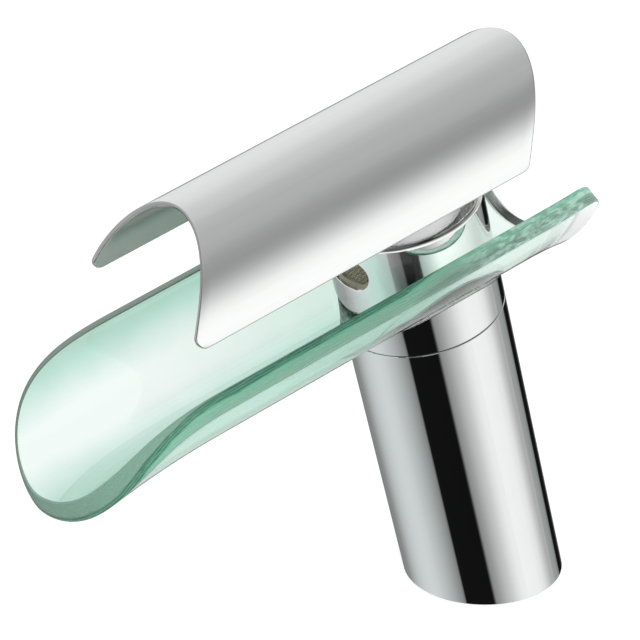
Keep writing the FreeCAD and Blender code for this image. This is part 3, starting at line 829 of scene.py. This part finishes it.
def make_handle():
    """The bent sheet handle with rounded corners and softened edges."""
    handle = bpy.context.scene.tap_handle
    middle_radius = handle.radius - handle.sheet / 2
    front_centre = -handle.front - handle.end_radius

    def whole_end(centre, sign):
        """Points and normals of an end from left to right."""
        def edge(w):
            turn = w / middle_radius
            x = handle.radius * math.sin(turn)
            depth = math.sqrt(handle.end_radius ** 2 - x ** 2)
            slope = -x / depth * handle.radius * math.cos(turn) / middle_radius
            return centre + depth, unit(-sign * slope, sign)

        half = rounded_end(edge, middle_radius * handle.half_angle, handle.corner)
        return [mirrored(values[1:]) + values for values in half]

    fronts, front_outs = whole_end(front_centre, -1)
    rears, rear_outs = whole_end(front_centre + handle.length, 1)
    columns = 40
    rows = [[(start[0] + (end[0] - start[0]) * column / columns,
              start[1] + (end[1] - start[1]) * column / columns)
             for column in range(columns + 1)] for start, end in zip(fronts, rears)]
    outward = front_outs[:1] + [(-1.0, 0.0)] * (columns - 1) + rear_outs
    outward += [(1.0, 0.0)] * (columns - 1) + list(reversed(front_outs[1:]))

    def bend(w, y, offset):
        turn = w / middle_radius
        radius = middle_radius + offset
        return placed(radius * math.sin(turn), y, handle.axis_height + radius * math.cos(turn))

    mesh = bent_sheet("sheet_handle", rows, outward, handle.sheet, handle.edge, bend)
    new_piece("sheet_handle", mesh, "lever", "handle_sheet", "handle_shell")


# ---- Seals ----

SEAL_THICKNESS, SEAL_SWELL = 0.8 * MM, 0.2 * MM
SEAL_INNER, SEAL_RIM = 17.55 * MM, 22.15 * MM


def make_saddle_seal(name, node, outer_saddle, turns=192, rim_steps=6):
    """A soft ring between two saddles, its rim swelling a little."""
    axis_height = bpy.context.scene.tap_trough.axis_height
    shares = [step / rim_steps for step in range(1, rim_steps)]
    profile = [(SEAL_INNER, 0.0), (SEAL_RIM, 0.0)]
    profile += [(SEAL_RIM + SEAL_SWELL * math.sin(math.pi * share), share) for share in shares]
    profile += [(SEAL_RIM, 1.0), (SEAL_INNER, 1.0)]
    work = bmesh.new()
    rings = []
    for step in range(turns):
        turn = 2 * math.pi * step / turns
        ring = []
        for radius, share in profile:
            x = radius * math.sin(turn)
            saddle = outer_saddle - SEAL_THICKNESS * share
            height = axis_height - math.sqrt(saddle ** 2 - x ** 2)
            ring.append(work.verts.new(placed(x, -radius * math.cos(turn), height)))
        rings.append(ring)
    for ring, following in zip(rings, rings[1:] + rings[:1]):
        for place in range(len(profile)):
            after = (place + 1) % len(profile)
            work.faces.new((ring[place], ring[after], following[after], following[place]))
    result = to_mesh(name, work)
    result.shade_smooth()
    result.set_sharp_from_angle(angle=math.radians(50))
    new_piece(name, result, "root", "clear_seal", node)


# ---- Woven screen ----

WEAVE_SIZES = ("pitch", "wire", "radius", "half_width", "slot_radius")


def weave_tree():
    """Geometry nodes that weave two sets of wires on a cylinder and trim them to the slot."""
    group = bpy.data.node_groups.new("woven_screen", 'GeometryNodeTree')
    for name in WEAVE_SIZES:
        group.interface.new_socket(name, in_out='INPUT', socket_type='NodeSocketFloat')
    group.interface.new_socket("Material", in_out='INPUT', socket_type='NodeSocketMaterial')
    group.interface.new_socket("Geometry", in_out='OUTPUT', socket_type='NodeSocketGeometry')
    weave = Tree(group)
    calc, times, plus, made = weave.calc, weave.times, weave.plus, weave.made
    given = weave.add("NodeGroupInput").outputs
    pitch, wire, screen_radius, half_width, slot_radius = (given[name] for name in WEAVE_SIZES)
    joined = weave.add("GeometryNodeJoinGeometry")

    def on_axis(axis, value):
        return made("ShaderNodeCombineXYZ", **{axis: value})

    for upright in (True, False):
        along, beside = (slot_radius, half_width) if upright else (half_width, slot_radius)
        axis, across = ("Z", "X") if upright else ("X", "Z")
        reach = calc('FLOOR', calc('DIVIDE', beside, pitch))
        strand = made("GeometryNodeCurvePrimitiveLine", Start=on_axis(axis, times(along, -1.0)),
                      End=on_axis(axis, times(along, 1.0)))
        strand = made("GeometryNodeResampleCurve", Curve=strand,
                      Count=plus(times(calc('DIVIDE', along, pitch), 8.0), 1.0))
        row = weave.add("GeometryNodeMeshLine", mode='OFFSET')
        weave.fill(row, Count=plus(times(reach, 2.0), 1.0), Offset=on_axis(across, pitch),
                   Start_Location=on_axis(across, times(times(reach, pitch), -1.0)))
        wires = made("GeometryNodeInstanceOnPoints", Points=row.outputs[0], Instance=strand)
        wires = made("GeometryNodeRealizeInstances", Geometry=wires)

        x, _, z = weave.split(weave.add("GeometryNodeInputPosition").outputs[0])
        beyond = calc('SUBTRACT', calc('ABSOLUTE', x), calc('SUBTRACT', half_width, slot_radius))
        beyond = calc('MAXIMUM', beyond, 0.0)
        reach_out = calc('SQRT', plus(times(beyond, beyond), times(z, z)))
        wires = made("GeometryNodeDeleteGeometry", Geometry=wires,
                     Selection=calc('GREATER_THAN', reach_out, slot_radius))

        phase = times(calc('DIVIDE', plus(x, z), pitch), math.pi)
        wave = times(calc('COSINE', phase), wire)
        radius = calc('MULTIPLY_ADD', wave, 1.0 if upright else -1.0, screen_radius)
        depth = calc('SQRT', calc('SUBTRACT', times(radius, radius), times(x, x)))
        wires = made("GeometryNodeSetPosition", Geometry=wires,
                     Position=made("ShaderNodeCombineXYZ", X=x, Y=times(depth, -1.0), Z=z))
        ring = made("GeometryNodeCurvePrimitiveCircle", Resolution=6, Radius=wire)
        wires = made("GeometryNodeCurveToMesh", Curve=wires, Profile_Curve=ring, Fill_Caps=True)
        weave.put(joined.inputs[0], wires)
    smooth = made("GeometryNodeSetShadeSmooth", Geometry=joined.outputs[0])
    whole = made("GeometryNodeRealizeInstances", Geometry=smooth)
    weave.add("NodeGroupOutput", made("GeometryNodeSetMaterial", Geometry=whole,
                                      Material=given["Material"]))
    return group


def make_screen():
    """The woven wire screen that stands in the slot."""
    screen = bpy.context.scene.tap_screen
    base = new_object("screen_base", bpy.data.meshes.new("screen_base"))
    weave = base.modifiers.new("weave", 'NODES')
    weave.node_group = weave_tree()
    values = {name: getattr(screen, name) for name in WEAVE_SIZES}
    values["Material"] = finish("wire_screen")
    for socket in weave.node_group.interface.items_tree:
        if socket.name in values:
            weave[socket.identifier] = values[socket.name]
    base.update_tag()
    mesh = evaluated(base, "woven_screen")
    if not mesh.vertices:
        raise RuntimeError("the screen came out empty")
    place_all(mesh.vertices, screen.height)
    mesh.update()
    new_piece("woven_screen", mesh, "root", "wire_screen", "outlet_screen")


# ---- Stage ----

# Brightness that polished metal sees round the tap's axis: degrees from the front, then tone.
AROUND = (
    (-180, 157), (-168, 148), (-161, 130), (-158, 18), (-142, 18), (-134, 80), (-112, 120),
    (-95, 128), (-80, 136), (-70, 158), (-60, 180), (-50, 195), (-38, 206), (-26, 210),
    (-14, 205), (0, 187), (10, 169), (18, 149), (24.5, 128), (26.5, 18), (67, 16), (70.5, 136),
    (78, 156), (86, 180), (95, 200), (103, 220), (112, 235), (124, 241), (142, 238), (154, 226),
    (163, 200), (172, 172),
)
# Light that reaches the plate through the glass, by the same directions.
THROUGH = (
    (-180, 0.9), (-110, 0.8), (-85, 0.45), (-60, 0.53), (-47, 0.73), (-36, 1.0), (-17, 1.3),
    (-9, 1.5), (0, 1.55), (7, 1.55), (14, 1.3), (21, 1.1), (28.5, 0.92), (30.5, 0.42),
    (38, 0.29), (46.0, 0.22), (47.5, 0.015), (70, 0.015), (72, 0.58), (78, 0.7), (84, 0.82),
    (91, 1.05), (98, 1.25), (108, 1.25), (125, 1.15), (140, 1.05), (163, 0.8), (172, 0.8),
)
# Its colour in front and at the sides.
THROUGH_TINT, SIDE_TINT = (1.0, 0.8, 0.87), (0.96, 1.0, 0.98)
# Brightness overhead, from the left over the top to the right.
OVER = (
    (-180, 205), (-140, 205), (-113, 219), (-81, 226), (-60, 220), (-44, 205), (-30, 197),
    (-18, 183), (-6, 176), (4, 175), (14, 170), (24, 157), (31, 151), (38, 149), (44, 157),
    (50, 172), (56, 192), (62, 211), (71, 238), (81, 252), (91, 255), (101, 254), (115, 246),
    (140, 238), (180, 205),
)
# The share of red in a tone: less in what the plate sees from its left to a little past its front.
COOL_RED, WARM_RED, BLUE, COOL_BELOW = 0.94, 0.985, 0.99, 20
# Degrees at which the side tint starts and between which the cards round the tap give way to those
# overhead; the sines between which the pale sweep below sets in; and the strength of each light.
SIDE_FROM, CARD_TOPS, SWEEP = 71, (-24, -10), (-0.7, -0.78)
CARD_STRENGTH, EVEN_STRENGTH, WHITE = 1 / 0.88, 0.9, (1.0, 1.0, 1.0)
CAMERA_PLACE = (0.60703, -0.45284, 0.46624)
CAMERA_BACK = (0.74576, -0.48572, 0.45601)
CAMERA_RIGHT = (0.54577, 0.83795, 0.0)
CAMERA_ROLL = math.radians(0.668)
SENSOR_WIDTH, LENS = 36.0, 171.25
DECK_SIZE, DECK_COLOUR, DECK_GLOW = 6.0, (0.5, 0.5, 0.5), 0.56
# Name, place in metres, width in metres and power of each lamp, and what they all aim at.
LAMPS = (("key", (-0.9, -0.9, 1.5), 1.2, 5.0), ("fill", (1.2, 0.2, 1.3), 1.4, 3.0),
         ("low", (0.704, -0.47, 0.473), 0.25, 4.0))
LAMP_AIM = Vector((0, -0.05, 0.08))


def make_camera():
    """The camera of the photograph's view."""
    back = Vector(CAMERA_BACK).normalized()
    right = Vector(CAMERA_RIGHT)
    right = (right - back * right.dot(back)).normalized()
    up = back.cross(right)
    rolled_right = right * math.cos(CAMERA_ROLL) + up * math.sin(CAMERA_ROLL)
    rolled_up = up * math.cos(CAMERA_ROLL) - right * math.sin(CAMERA_ROLL)
    data = bpy.data.cameras.new("view")
    data.sensor_width = SENSOR_WIDTH
    data.lens = LENS
    data.clip_start = 0.01
    data.clip_end = 50.0
    camera = new_object("view", data)
    turn = Matrix((rolled_right, rolled_up, back)).transposed().to_4x4()
    camera.matrix_world = Matrix.Translation(CAMERA_PLACE) @ turn
    bpy.context.scene.camera = camera


def make_floor():
    """A pale deck that keeps the tap's soft shadow."""
    mesh = bpy.data.meshes.new("deck")
    corners = ((-1, -1), (1, -1), (1, 1), (-1, 1))
    mesh.from_pydata([(x * DECK_SIZE, y * DECK_SIZE, 0) for x, y in corners], [], [(0, 1, 2, 3)])
    floor = new_object("deck", mesh)
    floor.visible_glossy = False
    floor.visible_transmission = False
    material = bpy.data.materials.new("pale_deck")
    material.use_nodes = True
    look = Tree(material.node_tree)
    diffuse = look.made("ShaderNodeBsdfDiffuse", Color=DECK_COLOUR)
    seen = look.add("ShaderNodeLightPath").outputs["Is Camera Ray"]
    glow = look.made("ShaderNodeEmission", Strength=look.times(seen, DECK_GLOW))
    both = look.add("ShaderNodeAddShader", diffuse, glow)
    look.add("ShaderNodeOutputMaterial", both.outputs[0])
    mesh.materials.append(material)


def make_world():
    """Even white light, with the studio's dark and bright cards for whatever mirrors them."""
    world = bpy.data.worlds.new("studio")
    bpy.context.scene.world = world
    world.use_nodes = True
    sky = Tree(world.node_tree)
    where = sky.add("ShaderNodeTexCoord").outputs["Generated"]
    path = sky.add("ShaderNodeLightPath").outputs

    def along(*axis):
        node = sky.add("ShaderNodeVectorMath", where, placed(*axis), operation='DOT_PRODUCT')
        return node.outputs["Value"]

    def by_degrees(turn, stops):
        """A colour by an angle, from (degrees, colour) stops."""
        share = sky.calc('MULTIPLY_ADD', turn, 1 / (2 * math.pi), 0.5)
        return sky.ramp(share, [(degrees / 360 + 0.5, colour) for degrees, colour in stops])

    def tones(stops, cool_below=-360):
        """(degrees, colour) stops from (degrees, screen tone) ones."""
        return [(degrees, (linear(value) * (COOL_RED if degrees < cool_below else WARM_RED),
                           linear(value), linear(value) * BLUE)) for degrees, value in stops]

    def background(colour, strength):
        return sky.made("ShaderNodeBackground", Color=colour, Strength=strength)

    def pick(factor, first, second):
        return sky.add("ShaderNodeMixShader", factor, first, second).outputs[0]

    across, forward, upward = along(1, 0, 0), along(0, -1, 0), along(0, 0, 1)
    turned = sky.calc('ARCTAN2', across, forward)
    around = by_degrees(turned, tones(AROUND, COOL_BELOW))
    over = by_degrees(sky.calc('ARCTAN2', across, upward), tones(OVER))
    brightest = max(value for degrees, value in THROUGH)
    passed = []
    for degrees, value in THROUGH:
        tint = THROUGH_TINT if abs(degrees) < SIDE_FROM else SIDE_TINT
        passed.append((degrees, tuple(value / brightest * share for share in tint)))
    low, high = (math.sin(math.radians(degrees)) for degrees in CARD_TOPS)
    cards = sky.mix(sky.spread(upward, 0.0, 1.0, low, high, 'SMOOTHSTEP'), around, over)
    below = sky.spread(upward, 0.0, 1.0, *SWEEP, 'SMOOTHSTEP')

    def with_sweep(colour, strength):
        """A background that turns into the pale sweep straight below."""
        return background(sky.mix(below, colour, (1 / strength,) * 3), strength)

    white = background(WHITE, 1.0)
    reflected = sky.calc('GREATER_THAN', path["Glossy Depth"], 0.5)
    through = pick(reflected, white, with_sweep(by_degrees(turned, passed), brightest))
    light = pick(path["Is Glossy Ray"], background(WHITE, EVEN_STRENGTH),
                 with_sweep(cards, CARD_STRENGTH))
    light = pick(path["Is Transmission Ray"], light, through)
    sky.add("ShaderNodeOutputWorld", pick(path["Is Camera Ray"], light, white))


def make_lamps():
    """Two large soft lamps that draw the shadow on the deck, and one that reaches the well."""
    for name, place, size, power in LAMPS:
        data = bpy.data.lights.new(name, 'AREA')
        data.shape = 'DISK'
        data.size = size
        data.energy = power
        lamp = new_object(name, data)
        lamp.location = place
        lamp.rotation_euler = (LAMP_AIM - Vector(place)).to_track_quat('-Z', 'Y').to_euler()
        lamp.visible_glossy = False
        lamp.visible_transmission = False


# ---- Operators ----

class TAP_OT_stage(bpy.types.Operator):
    """Make the camera, the deck, the world and the lamps"""
    bl_idname = "tap.stage"
    bl_label = "Stage"

    def execute(self, context):
        context.scene.view_settings.view_transform = 'Standard'
        make_camera()
        make_floor()
        make_world()
        make_lamps()
        return {'FINISHED'}


class TAP_OT_finish_frame(bpy.types.Operator):
    """Give every carried-over piece its finish"""
    bl_idname = "tap.finish_frame"
    bl_label = "Finishes"

    def execute(self, context):
        given = {entry["node"]: entry["material_slot"] for entry in frame["record"]["subparts"]}
        for name, node in frame["nodes"].items():
            for place in range(len(node.data.materials)):
                node.data.materials[place] = finish(given[name])
        return {'FINISHED'}


class TAP_OT_glass(bpy.types.Operator):
    """Make the bent glass trough"""
    bl_idname = "tap.glass"
    bl_label = "Glass trough"

    def execute(self, context):
        make_trough()
        return {'FINISHED'}


class TAP_OT_seals(bpy.types.Operator):
    """Make the two clear seals on the glass"""
    bl_idname = "tap.seals"
    bl_label = "Glass seals"

    def execute(self, context):
        trough = context.scene.tap_trough
        make_saddle_seal("lower_seal", "lower_glass_gasket",
                         trough.radius + trough.thickness + SEAL_THICKNESS)
        make_saddle_seal("upper_seal", "upper_glass_gasket", trough.radius)
        return {'FINISHED'}


class TAP_OT_handle(bpy.types.Operator):
    """Make the bent sheet handle"""
    bl_idname = "tap.handle"
    bl_label = "Handle"

    def execute(self, context):
        make_handle()
        return {'FINISHED'}


class TAP_OT_screen(bpy.types.Operator):
    """Weave the wire screen"""
    bl_idname = "tap.screen"
    bl_label = "Wire screen"

    def execute(self, context):
        make_screen()
        return {'FINISHED'}


class TAP_PT_panel(bpy.types.Panel):
    """Lists the tap's operators"""
    bl_idname = "TAP_PT_panel"
    bl_label = "Waterfall basin tap"
    bl_space_type = 'VIEW_3D'
    bl_region_type = 'UI'
    bl_category = "Tap"

    def draw(self, context):
        column = self.layout.column()
        for operator in OPERATORS:
            column.operator(operator.bl_idname)


SETTINGS = {"tap_trough": TapTrough, "tap_handle": TapHandle, "tap_screen": TapScreen,
            "tap_colours": TapColours}
OPERATORS = (TAP_OT_stage, TAP_OT_finish_frame, TAP_OT_glass, TAP_OT_seals, TAP_OT_handle,
             TAP_OT_screen)
CLASSES = (*SETTINGS.values(), *OPERATORS, TAP_PT_panel)


def register():
    for item in CLASSES:
        bpy.utils.register_class(item)
    for name, group in SETTINGS.items():
        setattr(bpy.types.Scene, name, PointerProperty(type=group))


def unregister():
    for name in SETTINGS:
        delattr(bpy.types.Scene, name)
    for item in reversed(CLASSES):
        bpy.utils.unregister_class(item)


def main():
    register()
    bpy.ops.tap.stage()
    bpy.ops.tap.finish_frame()
    bpy.ops.tap.glass()
    bpy.ops.tap.seals()
    bpy.ops.tap.handle()
    bpy.ops.tap.screen()


if __name__ == "__main__":
    main()
